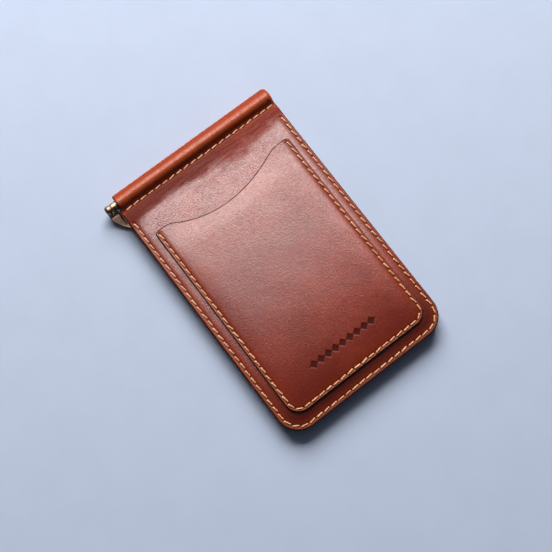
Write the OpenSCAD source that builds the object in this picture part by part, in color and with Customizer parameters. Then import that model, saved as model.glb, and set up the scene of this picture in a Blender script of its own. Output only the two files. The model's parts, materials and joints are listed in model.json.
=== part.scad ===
// Leather money clip: a flat card sleeve with a spring-loaded metal arm on its back.
// Frame: +X along the spine, +Y towards the spine, +Z out of the front pocket, millimetres.
// Origin: middle of the whole object in plan, on the surface that its back lies on.

/* [Leaf] */
// Width of the leather along the spine
leaf_w = 72; // [66:1:80]
// Length of the leather from the spine's outer side to the far edge
leaf_l = 112.2; // [104:0.1:120]
// Radius of the two far corners
leaf_corner_r = 9; // [6:0.5:12]
// Thickness of the outer shell's leather
shell_t = 1.4; // [1.2:0.1:1.5]
// Thickness of the lining
lining_t = 0.6; // [0.5:0.1:0.8]
// Thickness of the back panel's leather
panel_t = 1.3; // [1.2:0.1:1.4]
// Distance from the spine's outer side to the back panel's open edge
panel_top = 12; // [11.8:0.1:13]

/* [Spine] */
// Outside diameter of the leather sleeve
spine_d = 6.5; // [6.4:0.1:6.8]
// Outside diameter of the steel barrel in the sleeve
barrel_d = 3.6; // [3.5:0.1:3.6]
// Wall of the steel barrel
barrel_wall = 0.4; // [0.35:0.05:0.45]
// How far the sleeve's left end stands back from the leaf's left edge
sleeve_inset = 0.9; // [0.7:0.1:1.2]
// Leather closed over the barrel at the right end
sleeve_cap = 1.2; // [1:0.1:2]
// Radius of the trough between the sleeve and the leaf
trough_r = 1.2; // [1:0.1:1.4]

/* [Pockets] */
// Thickness of the front pocket's leather
front_pocket_t = 1.3; // [1.1:0.1:1.5]
// Distance from the spine's outer side to the pockets' shoulders
pocket_top = 21; // [19:0.5:24]
// Margin at the left edge
pocket_left = 5.3; // [4.8:0.1:6]
// Margin at the right edge
pocket_right = 4.7; // [4.5:0.1:6]
// Margin at the far edge
pocket_bottom = 5.8; // [5:0.1:7]
// Radius of a pocket's two far corners
pocket_corner_r = 5.8; // [4:0.1:7]
// Radius of a pocket's two shoulders
pocket_shoulder_r = 1.5; // [1:0.1:2]
// Depth of the thumb scoop
scoop_depth = 6.8; // [5:0.1:8]

/* [Stitching] */
// Length of one stitch, hole to hole
stitch_pitch = 3.24; // [3:0.02:3.6]
// Diameter of the waxed thread
thread_d = 0.55; // [0.45:0.05:0.6]
// Width of the grooves that the seams lie in
groove_w = 1; // [0.9:0.1:1.1]
// Distance of the edge seam from the leaf's edge
edge_inset = 1.6; // [1.5:0.1:1.8]
// Distance of a pocket's seam from the pocket's edge
pocket_inset = 1.25; // [1.2:0.05:1.5]
// Distance from the spine's outer side to the spine seam
spine_seam = 7.3; // [7.2:0.1:7.6]
// Distance from the spine's outer side to where the edge seam starts
edge_seam_top = 13.1; // [12.9:0.1:14]

/* [Clip] */
// How far the knuckle stands out past the leaf's left edge
knuckle_out = 4.2; // [3.8:0.1:4.6]
// Outside diameter of the rolled knuckle
knuckle_d = 3.3; // [3.2:0.1:3.4]
// Thickness of the arm's steel
arm_t = 1; // [0.8:0.1:1]
// Width of the arm's long blade
arm_w = 8; // [6:0.5:8.5]
// Distance from the spine's outer side to the blade's far edge
arm_far = 15.5; // [15:0.1:17]
// Radius of the arm's outer shoulder
arm_shoulder_r = 11.5; // [10:0.5:12]
// Distance from the leaf's right edge to the blade's free end
arm_end = 8; // [6:0.5:20]
// Diameter of the pivot rod
rod_d = 1.6; // [1.4:0.1:1.6]
// Wire diameter of the torsion spring
wire_d = 0.4; // [0.3:0.05:0.4]
// Turns of the torsion spring
spring_turns = 24; // [12:1:26]

/* [Hidden] */
$fn = 96;

tan_leather = "#8c3f26";
dark_leather = "#5e2415";
tan_thread = "#e0b080";
nickel = "#b9ab94";
brass = "#b5924c";
spring_steel = "#8f9296";

// a small overlap that makes a cut or a joint between solids clean
bite = 0.01;

// the leaf's edges
left_x = knuckle_out - (leaf_w + knuckle_out) / 2;
right_x = left_x + leaf_w;
spine_y = leaf_l / 2;
far_y = -leaf_l / 2;

// heights: the sleeve's axis is where the shell's front and back layers meet
axis_y = spine_y - spine_d / 2;
axis_z = spine_d / 2;
front_z = axis_z + shell_t;
flap_z = axis_z - shell_t;
flap_end = panel_top - 0.5;
lining_z = axis_z - lining_t;
panel_z = lining_z - panel_t;
sleeve_x = left_x + sleeve_inset;

// the pockets' edges
pocket_x0 = left_x + pocket_left;
pocket_x1 = right_x - pocket_right;
pocket_y0 = far_y + pocket_bottom;
pocket_y1 = spine_y - pocket_top;
pocket_w = pocket_x1 - pocket_x0;

// seams: the thread's middle lies this far under or over a leather face
groove_depth = 0.35;
thread_rise = thread_d / 2 - groove_depth;
back_groove_depth = thread_d + 0.05;
stitch_share = 0.82;
stitch_slant = 8;

// the scoop's shape, as shares of the pocket's width
scoop_from = 0.115;
scoop_to = 0.875;
scoop_skew = 0.9;
scoop_softness = 1.1;
scoop_steps = 48;

// facets of the trough's arc
trough_steps = 8;

// inside the barrel
barrel_x0 = sleeve_x - 0.75;
barrel_x1 = right_x - sleeve_cap - 0.6;
barrel_bore = barrel_d - 2 * barrel_wall;
rod_clearance = 0.05;
left_bush_l = 5;
right_bush_l = 3;
right_bush_x = 20;
rod_end_x = 24;
plug_l = 3;
washer_t = 0.3;
washer_gap = 0.05;
collar_l = 2.4;

// the knuckle and the arm
knuckle_x0 = left_x - knuckle_out;
knuckle_x1 = barrel_x0 - washer_t - 2 * washer_gap;
arm_z = 0.2;
joggle_v = 6.5;
flange_v = 6.2;
flange_z = 1.95;
arm_inner_r = 1;
blade_x1 = right_x - arm_end;
pin_d = 0.7;

// the spring
spring_r = 1.1;
spring_pitch = 0.6;
spring_sides = 6;
spring_steps = 14;
spring_x0 = barrel_x0 + left_bush_l + wire_d / 2;
spring_x1 = spring_x0 + spring_turns * spring_pitch;

// distance from the spine's outer side, as a row coordinate
function from_spine(v) = spine_y - v;

// a slab outline with two radii at the far end and two at the spine end
module slab_outline(x0, x1, y0, y1, far_r, near_r) {
    translate([x0, y0 + far_r])
        square([x1 - x0, y1 - near_r - y0 - far_r]);
    translate([x0 + far_r, y0])
        square([x1 - x0 - 2 * far_r, far_r]);
    for (x = [x0 + far_r, x1 - far_r])
        translate([x, y0 + far_r])
            circle(r = far_r);
    if (near_r > 0) {
        translate([x0 + near_r, y1 - near_r])
            square([x1 - x0 - 2 * near_r, near_r]);
        for (x = [x0 + near_r, x1 - near_r])
            translate([x, y1 - near_r])
                circle(r = near_r);
    }
}

// the leaf from distance v of the spine down, drawn in by inset
module leaf_outline(v, inset = 0) {
    slab_outline(left_x + inset, right_x - inset, far_y + inset, from_spine(v), leaf_corner_r - inset, 0);
}

// the groove that a seam lies in, as a band round the leaf's three open sides
module edge_band() {
    difference() {
        leaf_outline(edge_seam_top - stitch_pitch / 2, edge_inset - groove_w / 2);
        translate([0, bite])
            leaf_outline(edge_seam_top - stitch_pitch / 2, edge_inset + groove_w / 2);
    }
}

// how deep the scoop is at t, a share of the pocket's width, with soft ends
function scoop_u(t) = (t - scoop_from) / (scoop_to - scoop_from);
function scoop_w(t) = scoop_u(t) <= 0 ? scoop_u(t) : pow(scoop_u(t), scoop_skew);
function scoop_raw(t) = scoop_depth * (1 - pow(2 * scoop_w(t) - 1, 2));
function scoop_dip(t) = (scoop_raw(t) + sqrt(pow(scoop_raw(t), 2) + pow(scoop_softness, 2))) / 2;
scoop_start = scoop_from - 0.07;
scoop_stop = scoop_to + 0.07;
scoop_rest = max(scoop_dip(scoop_start), scoop_dip(scoop_stop));

module scoop_cutter() {
    steps = [for (i = [0 : scoop_steps]) scoop_start + (scoop_stop - scoop_start) * i / scoop_steps];
    edge = [for (t = steps)
        [pocket_x0 + t * pocket_w, pocket_y1 - max(scoop_dip(t) - scoop_rest, 0)]];
    polygon(concat(edge, [[edge[scoop_steps][0], pocket_y1 + 1], [edge[0][0], pocket_y1 + 1]]));
}

module pocket_outline(inset = 0) {
    slab_outline(pocket_x0 + inset, pocket_x1 - inset, pocket_y0 + inset, pocket_y1 - inset,
                 pocket_corner_r - inset, max(pocket_shoulder_r - inset, 0.2));
}

module pocket_band() {
    difference() {
        pocket_outline(pocket_inset - groove_w / 2);
        pocket_outline(pocket_inset + groove_w / 2);
        translate([pocket_x0 + pocket_inset + groove_w / 2, pocket_y1 - pocket_corner_r])
            square([pocket_w - 2 * pocket_inset - groove_w, pocket_corner_r + 1]);
    }
}

// leather of thickness t with its lower face at height z
module pocket_leather(z, t) {
    translate([0, 0, z])
        linear_extrude(t)
            difference() {
                pocket_outline();
                scoop_cutter();
            }
}

// ---- seams ----

// a U-shaped seam goes down the left side, along the far edge and up the right side
function u_side(y0, y1, r) = y1 - y0 - r;
function u_arc(r) = PI * r / 2;
function u_length(x0, x1, y0, y1, r) = 2 * u_side(y0, y1, r) + 2 * u_arc(r) + x1 - x0 - 2 * r;

// place and heading at distance s along it: [x, y, angle]
function u_point(x0, x1, y0, y1, r, s) =
    let (side = u_side(y0, y1, r), arc = u_arc(r), base = x1 - x0 - 2 * r)
    s < side ? [x0, y1 - s, -90] :
    s < side + arc ? arc_point(x0 + r, y0 + r, r, 180 + (s - side) / r * 180 / PI) :
    s < side + arc + base ? [x0 + r + s - side - arc, y0, 0] :
    s < side + 2 * arc + base ? arc_point(x1 - r, y0 + r, r, 270 + (s - side - arc - base) / r * 180 / PI) :
    [x1, y0 + r + s - side - 2 * arc - base, 90];
function arc_point(x, y, r, a) = [x + r * cos(a), y + r * sin(a), a + 90];

// one stitch: a straight run of thread between two holes
module stitch(at, z, run, slant) {
    translate([at[0], at[1], z])
        rotate([0, 0, at[2] + slant])
            rotate([0, 90, 0])
                cylinder(d = thread_d, h = run, center = true, $fn = 24);
}

module u_seam(x0, x1, y0, y1, r, z, slant) {
    total = u_length(x0, x1, y0, y1, r);
    count = round(total / stitch_pitch);
    run = total / count;
    for (i = [0 : count - 1])
        stitch(u_point(x0, x1, y0, y1, r, (i + 0.5) * run), z, run * stitch_share, slant);
}

module edge_seam(z, slant) {
    u_seam(left_x + edge_inset, right_x - edge_inset, far_y + edge_inset, from_spine(edge_seam_top),
           leaf_corner_r - edge_inset, z, slant);
}

module pocket_seam(z, slant) {
    u_seam(pocket_x0 + pocket_inset, pocket_x1 - pocket_inset, pocket_y0 + pocket_inset,
           pocket_y1 - pocket_inset, pocket_corner_r - pocket_inset, z, slant);
}

spine_seam_x0 = left_x + 2;
spine_seam_x1 = right_x - 1;

module spine_seam_row(z, slant) {
    count = round((spine_seam_x1 - spine_seam_x0) / stitch_pitch);
    run = (spine_seam_x1 - spine_seam_x0) / count;
    for (i = [0 : count - 1])
        stitch([spine_seam_x0 + (i + 0.5) * run, from_spine(spine_seam), 0], z, run * stitch_share, slant);
}

module spine_groove(z) {
    translate([spine_seam_x0, from_spine(spine_seam) - groove_w / 2, z])
        cube([spine_seam_x1 - spine_seam_x0, groove_w, groove_depth + bite]);
}

// ---- leather ----

// the trough between sleeve and leaf, side = 1 in front and -1 behind
module trough(side) {
    out = sqrt(pow(spine_d / 2 + trough_r, 2) - pow(shell_t + trough_r, 2));
    first = atan2(-shell_t - trough_r, out);
    arc = [for (i = [0 : trough_steps])
        let (a = first + (-90 - first) * i / trough_steps)
        [-out + trough_r * cos(a), side * (shell_t + trough_r + trough_r * sin(a))]];
    points = concat([[0, 0], arc[0] * (1 - bite)], [for (i = [1 : trough_steps]) arc[i]], [[-out, 0]]);
    // both sides run anticlockwise
    polygon(side > 0 ? points : [for (i = [len(points) - 1 : -1 : 0]) points[i]]);
}

// the shell's side view about the sleeve's axis: sleeve, front layer and short back flap
module shell_profile() {
    circle(d = spine_d);
    trough(1);
    trough(-1);
    translate([far_y - axis_y, 0])
        square([leaf_l - spine_d / 2, shell_t]);
    translate([from_spine(flap_end) - axis_y, -shell_t])
        square([flap_end - spine_d / 2, shell_t]);
}

module along_x(x0, length) {
    translate([x0, axis_y, axis_z])
        rotate([90, 0, 90])
            linear_extrude(length)
                children();
}

module outer_shell() {
    color(tan_leather)
        difference() {
            intersection() {
                along_x(left_x - 1, leaf_w + 2)
                    shell_profile();
                linear_extrude(spine_d + 1)
                    leaf_outline(-1);
            }
            translate([left_x - 1, from_spine(spine_d), -1])
                cube([sleeve_inset + 1, spine_d + 1, spine_d + 2]);
            along_x(left_x - 1, barrel_x1 + 0.6 - left_x + 1)
                circle(d = barrel_d);
            translate([0, 0, front_z - groove_depth])
                linear_extrude(groove_depth + 1)
                    edge_band();
            spine_groove(front_z - groove_depth);
            spine_groove(flap_z - bite);
        }
}

module inner_lining() {
    color(dark_leather)
        translate([0, 0, lining_z])
            linear_extrude(lining_t)
                leaf_outline(panel_top);
}

module back_panel() {
    color(tan_leather)
        difference() {
            translate([0, 0, panel_z])
                linear_extrude(panel_t)
                    leaf_outline(panel_top);
            translate([0, 0, panel_z - 1])
                linear_extrude(1 + groove_depth)
                    edge_band();
        }
}

module front_pocket() {
    color(tan_leather)
        difference() {
            pocket_leather(front_z, front_pocket_t);
            translate([0, 0, front_z + front_pocket_t - groove_depth])
                linear_extrude(1)
                    pocket_band();
        }
}

module back_pocket() {
    color(tan_leather)
        difference() {
            pocket_leather(0, panel_z);
            translate([0, 0, -1])
                linear_extrude(1 + back_groove_depth)
                    pocket_band();
        }
}

// ---- thread ----

module spine_thread() {
    color(tan_thread) {
        spine_seam_row(front_z + thread_rise, stitch_slant);
        spine_seam_row(flap_z - thread_rise, -stitch_slant);
    }
}

module edge_thread() {
    color(tan_thread) {
        edge_seam(front_z + thread_rise, stitch_slant);
        edge_seam(panel_z - thread_rise, -stitch_slant);
    }
}

module front_pocket_thread() {
    color(tan_thread)
        pocket_seam(front_z + front_pocket_t + thread_rise, stitch_slant);
}

module back_pocket_thread() {
    color(tan_thread)
        pocket_seam(back_groove_depth - thread_d / 2, -stitch_slant);
}

// ---- metal in the sleeve ----

// a round piece on the sleeve's axis, with a hole through it
module ring_on_axis(x0, length, outer_d, inner_d) {
    along_x(x0, length)
        difference() {
            circle(d = outer_d);
            circle(d = inner_d);
        }
}

module spine_barrel() {
    color(nickel)
        ring_on_axis(barrel_x0, barrel_x1 - barrel_x0, barrel_d, barrel_bore);
}

module left_bush() {
    color(brass)
        ring_on_axis(barrel_x0, left_bush_l, barrel_bore, rod_d + 2 * rod_clearance);
}

module right_bush() {
    color(brass)
        ring_on_axis(right_bush_x, right_bush_l, barrel_bore, rod_d + 2 * rod_clearance);
}

module end_plug() {
    color(brass) {
        along_x(barrel_x1 - plug_l, plug_l)
            circle(d = barrel_bore);
        along_x(barrel_x1, 0.6)
            circle(d = barrel_d);
    }
}

module thrust_washer() {
    color(brass)
        ring_on_axis(barrel_x0 - washer_gap - washer_t, washer_t, knuckle_d, rod_d + 2 * rod_clearance);
}

// ---- moving metal ----

function ring_point(a, turn) =
    [spring_x0 + turn * spring_pitch + wire_d / 2 * sin(a),
     axis_y + (spring_r + wire_d / 2 * cos(a)) * cos(360 * turn),
     axis_z + (spring_r + wire_d / 2 * cos(a)) * sin(360 * turn)];

module torsion_spring() {
    rings = spring_turns * spring_steps;
    points = [for (i = [0 : rings], j = [0 : spring_sides - 1])
        ring_point(360 * j / spring_sides, i / spring_steps)];
    sides = [for (i = [0 : rings - 1], j = [0 : spring_sides - 1])
        let (k = (j + 1) % spring_sides, a = i * spring_sides, b = (i + 1) * spring_sides)
        each [[a + j, a + k, b + k], [a + j, b + k, b + j]]];
    first_cap = [[for (j = [spring_sides - 1 : -1 : 0]) j]];
    last_cap = [[for (j = [0 : spring_sides - 1]) rings * spring_sides + j]];
    color(spring_steel)
        polyhedron(points, concat(sides, first_cap, last_cap));
}

// the hole for the cross pin
module pin_hole() {
    translate([(knuckle_x0 + knuckle_x1) / 2, axis_y, axis_z])
        rotate([90, 0, 0])
            cylinder(d = pin_d, h = knuckle_d + 1, center = true, $fn = 32);
}

module pivot_rod() {
    color(nickel)
        difference() {
            along_x(knuckle_x0 + 0.15, rod_end_x - knuckle_x0 - 0.15)
                circle(d = rod_d);
            pin_hole();
        }
}

module rod_collar() {
    color(nickel)
        ring_on_axis(spring_x1 + wire_d / 2, collar_l, 2 * spring_r + wire_d, rod_d);
}

module cross_pin() {
    color(nickel)
        intersection() {
            pin_hole();
            along_x(knuckle_x0, knuckle_out)
                circle(d = knuckle_d);
        }
}

// side view of the arm's root: the knuckle, the joggled sheet and the return flange on top of it
module root_profile() {
    ring_v = spine_d / 2;
    r = knuckle_d / 2 - 0.05;
    circle(d = knuckle_d);
    polygon([
        [0, 0],
        [-r * cos(20), r * sin(20)],
        [ring_v - flange_v, flange_z - axis_z],
        [ring_v - flange_v, arm_z + arm_t - axis_z],
        [ring_v - arm_far, arm_z + arm_t - axis_z],
        [ring_v - arm_far, arm_z - axis_z],
        [ring_v - joggle_v, arm_z - axis_z],
        [0, -r]]);
}

// plan of the arm: a round shoulder at the knuckle and a long blade with a round free end
module arm_outline() {
    inner = from_spine(arm_far - arm_w);
    far = from_spine(arm_far);
    difference() {
        union() {
            translate([knuckle_x0, far + arm_shoulder_r])
                square([knuckle_x1 - knuckle_x0, arm_far - arm_shoulder_r]);
            translate([knuckle_x0 + arm_shoulder_r, far])
                square([blade_x1 - arm_w / 2 - knuckle_x0 - arm_shoulder_r, arm_w]);
            intersection() {
                translate([knuckle_x0 + arm_shoulder_r, far + arm_shoulder_r])
                    circle(r = arm_shoulder_r);
                translate([knuckle_x0, far])
                    square([arm_shoulder_r + bite, arm_shoulder_r + bite]);
            }
            translate([blade_x1 - arm_w / 2, far + arm_w / 2])
                circle(d = arm_w);
        }
        translate([knuckle_x1 + arm_inner_r, inner])
            square([leaf_w, leaf_l]);
        translate([knuckle_x1, inner + arm_inner_r])
            square([leaf_w, leaf_l]);
        translate([knuckle_x1 + arm_inner_r, inner + arm_inner_r])
            circle(r = arm_inner_r);
    }
}

module clip_arm() {
    color(nickel)
        difference() {
            intersection() {
                along_x(knuckle_x0, blade_x1 - knuckle_x0)
                    root_profile();
                union() {
                    linear_extrude(spine_d)
                        intersection() {
                            arm_outline();
                            translate([knuckle_x0 - 1, far_y])
                                square([knuckle_x1 - knuckle_x0 + 1, leaf_l]);
                        }
                    linear_extrude(arm_z + arm_t)
                        arm_outline();
                }
            }
            along_x(knuckle_x0 - 1, knuckle_out + 2)
                circle(d = rod_d);
            pin_hole();
        }
}

outer_shell();
inner_lining();
back_panel();
front_pocket();
back_pocket();
spine_thread();
edge_thread();
front_pocket_thread();
back_pocket_thread();
spine_barrel();
left_bush();
right_bush();
end_plug();
thrust_washer();
torsion_spring();
pivot_rod();
rod_collar();
clip_arm();
cross_pin();
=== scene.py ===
"""Looks of a leather money clip: moulded leather sheets, saddle-stitched thread and plated metal.

Everything is in metres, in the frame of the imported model: +X along the spine, +Y towards the
spine, +Z out of the front pocket. Distances given in millimetres are multiplied by MM.
"""

import json
import math

import bmesh
import bpy
import numpy as np
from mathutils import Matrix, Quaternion, Vector
from mathutils.geometry import delaunay_2d_cdt


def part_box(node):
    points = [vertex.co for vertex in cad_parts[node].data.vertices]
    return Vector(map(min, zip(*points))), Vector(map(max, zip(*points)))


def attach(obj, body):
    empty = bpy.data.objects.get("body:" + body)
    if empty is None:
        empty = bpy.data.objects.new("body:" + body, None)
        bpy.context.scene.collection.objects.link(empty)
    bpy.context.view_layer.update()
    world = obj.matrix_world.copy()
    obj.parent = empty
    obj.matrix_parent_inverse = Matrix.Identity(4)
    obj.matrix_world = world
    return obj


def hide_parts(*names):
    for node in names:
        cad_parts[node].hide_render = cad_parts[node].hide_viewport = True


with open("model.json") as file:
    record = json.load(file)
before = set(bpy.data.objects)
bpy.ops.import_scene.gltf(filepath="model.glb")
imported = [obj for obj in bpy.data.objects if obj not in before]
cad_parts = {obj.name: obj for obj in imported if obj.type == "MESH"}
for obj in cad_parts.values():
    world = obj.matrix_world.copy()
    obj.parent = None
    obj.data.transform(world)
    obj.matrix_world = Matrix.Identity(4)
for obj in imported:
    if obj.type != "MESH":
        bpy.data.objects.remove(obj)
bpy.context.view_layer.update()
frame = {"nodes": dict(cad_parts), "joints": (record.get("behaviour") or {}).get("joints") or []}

MM = 0.001
rng = np.random.default_rng(7)

# ---- measures of the frame ----

shell_low, shell_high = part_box("outer_shell")
LEFT, RIGHT, FAR, SPINE = shell_low.x, shell_high.x, shell_low.y, shell_high.y
WIDTH = RIGHT - LEFT
AXIS_Y, AXIS_Z = frame["joints"][0]["pos_m"][1:]
SLEEVE_R = SPINE - AXIS_Y
FRONT_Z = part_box("front_pocket")[0].z
SHELL_T = FRONT_Z - AXIS_Z
FLAP_Z = AXIS_Z - SHELL_T
BARREL_LOW, BARREL_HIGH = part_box("spine_barrel")
BORE_R = (BARREL_HIGH.y - BARREL_LOW.y) / 2 + 0.03 * MM
PANEL_LOW, PANEL_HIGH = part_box("back_panel")
POCKET_LOW, POCKET_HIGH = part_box("front_pocket")
BACK_LOW, BACK_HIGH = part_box("back_pocket")

# ---- measures of the leather work ----

LEAF_CORNER_R = 9 * MM
POCKET_CORNER_R = 5.8 * MM
SHOULDER_R = 1.5 * MM
SLEEVE_INSET = 0.9 * MM
TROUGH_R = 1.2 * MM
SPINE_SEAM = 7.3 * MM
FLAP_END = 11.5 * MM
EDGE_INSET = 1.6 * MM
EDGE_SEAM_TOP = 13.1 * MM
POCKET_INSET = 1.25 * MM
STITCH_PITCH = 3.24 * MM
STITCH_SLANT = math.radians(9)
FINE_STEP = STITCH_PITCH / 8
THREAD_R = 0.28 * MM
# How far the thread's middle lies below the leather's face
THREAD_SINK = 0.03 * MM
# A seam's groove and pits, and the widths of the groove and of the pulled band
GROOVE_DEPTH, PIT_DEPTH, GROOVE_W, PULL_W = 0.15 * MM, 0.09 * MM, 0.55 * MM, 1.75 * MM
# The radius of a pit at a hole, and the radius, share and offset of the pucker between stitches
PIT_R, PUCKER_R, PUCKER_SHARE, PUCKER_OFFSET = 0.25 * MM, 0.24 * MM, 0.55, 0.5 * MM
# How far from a seam's line pits are looked for, and a hole's place as a share of the stitch's run
PIT_REACH, HOLE_SHARE = 1.3 * MM, 0.41
# The air between two layers of leather
SKIN_GAP = 0.01 * MM


def from_spine(v):
    """The row's y at distance v from the spine's outer side."""
    return SPINE - v


# ---- outlines ----

def arc(cx, cy, radius, first, last, step):
    """Points along an arc, angles in degrees, without its last point."""
    count = max(2, round(abs(math.radians(last - first)) * radius / step))
    angles = np.radians(np.linspace(first, last, count, endpoint=False))
    return np.c_[cx + radius * np.cos(angles), cy + radius * np.sin(angles)]


def straight(start, end, step):
    """Points along a straight line, without its last point."""
    start, end = np.array(start, float), np.array(end, float)
    count = max(1, round(np.linalg.norm(end - start) / step))
    return start + (end - start) * (np.arange(count) / count)[:, None]


def scoop_dip(t):
    """Depth of the thumb scoop at t, a share of the pocket's width, with soft shoulders."""
    depth, begin, stop, skew, softness = 6.8 * MM, 0.115, 0.875, 0.9, 1.1 * MM
    u = (t - begin) / (stop - begin)
    w = np.where(u > 0, np.abs(u) ** skew, u)
    raw = depth * (1 - (2 * w - 1) ** 2)
    return (raw + np.sqrt(raw**2 + softness**2)) / 2


def far_sides(x0, x1, far, near, r, step):
    """The left side, the far edge and the right side of an outline, with their rounded corners."""
    return [
        straight((x0, near), (x0, far + r), step),
        arc(x0 + r, far + r, r, 180, 270, step),
        straight((x0 + r, far), (x1 - r, far), step),
        arc(x1 - r, far + r, r, 270, 360, step),
        straight((x1, far + r), (x1, near), step),
    ]


def leaf_outline(near_y, step):
    """The leaf's outline, anticlockwise from its near left corner, open along near_y."""
    sides = far_sides(LEFT, RIGHT, FAR, near_y, LEAF_CORNER_R, step)
    return np.vstack([*sides, straight((RIGHT, near_y), (LEFT, near_y), step)])


def pocket_outline(low, high, step):
    """A pocket's outline with its thumb scoop, anticlockwise from its left shoulder."""
    s = SHOULDER_R
    begin, stop, width = 0.045, 0.945, high.x - low.x
    top = np.linspace(stop, begin, round((stop - begin) * width / step))
    rest = max(scoop_dip(np.array([begin, stop])))
    scoop = np.c_[low.x + top * width, high.y - np.maximum(scoop_dip(top) - rest, 0)]
    return np.vstack([
        arc(low.x + s, high.y - s, s, 90, 180, step / 2),
        *far_sides(low.x, high.x, low.y, high.y - s, POCKET_CORNER_R, step),
        arc(high.x - s, high.y - s, s, 0, 90, step / 2),
        scoop,
    ])


def batches(count, size=2000):
    """Slices that take so many points a batch at a time."""
    return [slice(i, i + size) for i in range(0, count, size)]


def distance_to_polyline(x, y, line, closed=True):
    """Distance of each point to a polyline."""
    a = line if closed else line[:-1]
    b = np.roll(line, -1, 0) if closed else line[1:]
    d = b - a
    length2 = np.maximum((d**2).sum(1), 1e-18)
    out = np.empty(len(x))
    for k in batches(len(x)):
        px, py = x[k, None], y[k, None]
        t = np.clip(((px - a[:, 0]) * d[:, 0] + (py - a[:, 1]) * d[:, 1]) / length2, 0, 1)
        out[k] = np.sqrt(((px - a[:, 0] - t * d[:, 0]) ** 2 + (py - a[:, 1] - t * d[:, 1]) ** 2).min(1))
    return out


def inside(x, y, line):
    """Whether each point lies within a closed polyline."""
    ax, ay = line[:, 0], line[:, 1]
    bx, by = np.roll(ax, -1), np.roll(ay, -1)
    out = np.zeros(len(x), bool)
    for k in batches(len(x)):
        px, py = x[k, None], y[k, None]
        crosses = (ay > py) != (by > py)
        with np.errstate(divide="ignore", invalid="ignore"):
            at = ax + (py - ay) * (bx - ax) / (by - ay)
        out[k] = (crosses & (px < at)).sum(1) % 2 == 1
    return out


def inward(line):
    """Unit normals of an anticlockwise closed polyline, pointing inwards."""
    tangent = np.roll(line, -1, 0) - np.roll(line, 1, 0)
    tangent /= np.linalg.norm(tangent, axis=1)[:, None]
    return np.c_[-tangent[:, 1], tangent[:, 0]]


# ---- seams ----

def u_path(x0, x1, y0, y1, r):
    """A U-shaped path along the left, far and right sides, and its length."""
    side, bend, base = y1 - y0 - r, math.pi * r / 2, x1 - x0 - 2 * r

    def at(s):
        if s < side:
            return x0, y1 - s, -math.pi / 2
        if s < side + bend:
            a = math.pi + (s - side) / r
            return x0 + r + r * math.cos(a), y0 + r + r * math.sin(a), a + math.pi / 2
        if s < side + bend + base:
            return x0 + r + s - side - bend, y0, 0.0
        if s < side + 2 * bend + base:
            a = 1.5 * math.pi + (s - side - bend - base) / r
            return x1 - r + r * math.cos(a), y0 + r + r * math.sin(a), a + math.pi / 2
        return x1, y0 + r + s - side - 2 * bend - base, math.pi / 2

    return at, 2 * side + 2 * bend + base


def seam_along(path, length, spine=False):
    """The stitches of a seam, as arrays of middle x, middle y, heading and run."""
    count = round(length / STITCH_PITCH)
    run = length / count
    middles = np.array([path((i + 0.5) * run) for i in range(count)])
    return {"x": middles[:, 0], "y": middles[:, 1], "heading": middles[:, 2], "run": run, "spine": spine}


def u_seam(x0, x1, far, near, corner_r, inset):
    """A seam inside an outline's left, far and right edges, which ends at near on both sides."""
    return seam_along(*u_path(x0 + inset, x1 - inset, far + inset, near, corner_r - inset))


def pocket_seam(low, high):
    return u_seam(low.x, high.x, low.y, high.y - POCKET_INSET, POCKET_CORNER_R, POCKET_INSET)


def spine_seam():
    x0, x1 = LEFT + 2 * MM, RIGHT - 1 * MM
    return seam_along(lambda s: (x0 + s, from_spine(SPINE_SEAM), 0.0), x1 - x0, spine=True)


def stitch_ends(seam, up):
    """The holes that the stitches run between, and the puckers beside them, inwards."""
    half = seam["run"] * HOLE_SHARE
    a = seam["heading"] + (STITCH_SLANT if up else -STITCH_SLANT)
    dx, dy = half * np.cos(a), half * np.sin(a)
    holes = np.r_[np.c_[seam["x"] - dx, seam["y"] - dy], np.c_[seam["x"] + dx, seam["y"] + dy]]
    along = np.c_[np.cos(seam["heading"]), np.sin(seam["heading"])]
    inner = np.c_[-along[:, 1], along[:, 0]] * (-1 if seam["spine"] else 1)
    junction = np.c_[seam["x"], seam["y"]] + seam["run"] / 2 * along
    return holes, junction + PUCKER_OFFSET * inner


# ---- the leather's relief ----

def smoothstep(x, low, high):
    t = np.clip((x - low) / (high - low), 0, 1)
    return t * t * (3 - 2 * t)


def waves(x, y, size, seed):
    """Soft undulation between about -1 and 1, with features of the given size."""
    source = np.random.default_rng(seed)
    total = np.zeros(len(x))
    for _ in range(9):
        angle, phase = source.uniform(0, 2 * math.pi, 2)
        scale = 2 * math.pi / (size * source.uniform(0.7, 1.6))
        total += np.sin(scale * (x * math.cos(angle) + y * math.sin(angle)) + phase)
    return total / 4


def seam_dent(x, y, distance, inset, active, seam, up=True):
    """How deep a seam's groove and pits are, how much of a pit there is, and how much it pulls."""
    near = np.abs(distance - inset)
    holes, puckers = stitch_ends(seam, up)
    groove = GROOVE_DEPTH * np.exp(-((near / GROOVE_W) ** 2)) * active
    pits = np.zeros(len(x))
    close = np.flatnonzero((near < PIT_REACH) & (active > 0.01))
    for batch in batches(len(close)):
        k = close[batch]
        d2 = (x[k, None] - holes[:, 0]) ** 2 + (y[k, None] - holes[:, 1]) ** 2
        p2 = (x[k, None] - puckers[:, 0]) ** 2 + (y[k, None] - puckers[:, 1]) ** 2
        pucker = PUCKER_SHARE * np.exp(-p2.min(1) / PUCKER_R**2)
        pits[k] = np.maximum(np.exp(-d2.min(1) / PIT_R**2), pucker)
    pulled = np.exp(-((near / PULL_W) ** 2)) * active
    return groove + PIT_DEPTH * pits, pits, pulled


def round_edge(distance, radius):
    """How far a rounded edge falls below the flat at a distance from the outline."""
    t = np.clip(1 - distance / radius, 0, 1)
    return radius * (1 - np.sqrt(1 - t * t))


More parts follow.
